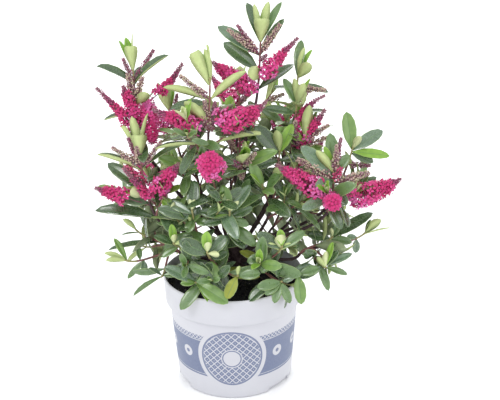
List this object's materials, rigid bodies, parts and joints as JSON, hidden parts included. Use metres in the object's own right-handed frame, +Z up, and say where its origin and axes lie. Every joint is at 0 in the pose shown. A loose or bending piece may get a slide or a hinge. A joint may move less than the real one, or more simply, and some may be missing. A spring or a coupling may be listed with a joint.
{
  "type": "potted hebe shrub",
  "caption": "Bushy evergreen shrub with paired oblong leaves, pale cupped shoot tips and magenta flower spikes, growing in a round white nursery pot",
  "frame": {"origin": "centre of the pot's flat underside, which the plant stands on", "axes": "+Z up, +X to the right and +Y away from the side the plant is seen from"},
  "size_m": [0.3738, 0.2899, 0.4612],
  "materials": {
    "pot_plastic": "satin white moulded polypropylene with a printed slate-blue band",
    "compost": "near-black crumbly peat-free compost",
    "bark": "purple-brown ringed bark",
    "foliage": "glossy dark green leaves, pale green undersides, magenta flowers"
  },
  "bodies": {
    "root": {"pot": "pot_plastic", "compost": "compost", "trunk": "bark", "bough_crown_top": "bark", "foliage_crown_top": "foliage", "bough_crown_left": "bark", "foliage_crown_left": "foliage", "bough_crown_centre": "bark", "foliage_crown_centre": "foliage", "bough_crown_right": "bark", "foliage_crown_right": "foliage", "bough_middle_right": "bark", "foliage_middle_right": "foliage", "bough_right_flowering": "bark", "foliage_right_flowering": "foliage", "bough_far_right": "bark", "foliage_far_right": "foliage", "bough_right_low": "bark", "foliage_right_low": "foliage", "bough_left_flowering": "bark", "foliage_left_flowering": "foliage", "bough_left_low": "bark", "foliage_left_low": "foliage", "bough_front_left": "bark", "foliage_front_left": "foliage", "bough_front_centre": "bark", "foliage_front_centre": "foliage", "bough_front_low": "bark", "foliage_front_low": "foliage", "bough_front_right": "bark", "foliage_front_right": "foliage", "bough_middle_left": "bark", "foliage_middle_left": "foliage", "bough_middle_top": "bark", "foliage_middle_top": "foliage", "bough_back_top": "bark", "foliage_back_top": "foliage", "bough_back_left_top": "bark", "foliage_back_left_top": "foliage", "bough_back_right_top": "bark", "foliage_back_right_top": "foliage", "bough_back_left": "bark", "foliage_back_left": "foliage", "bough_back_right": "bark", "foliage_back_right": "foliage", "bough_back": "bark", "foliage_back": "foliage", "bough_back_left_low": "bark", "foliage_back_left_low": "foliage", "bough_back_right_low": "bark", "foliage_back_right_low": "foliage"}
  },
  "joints": []
}
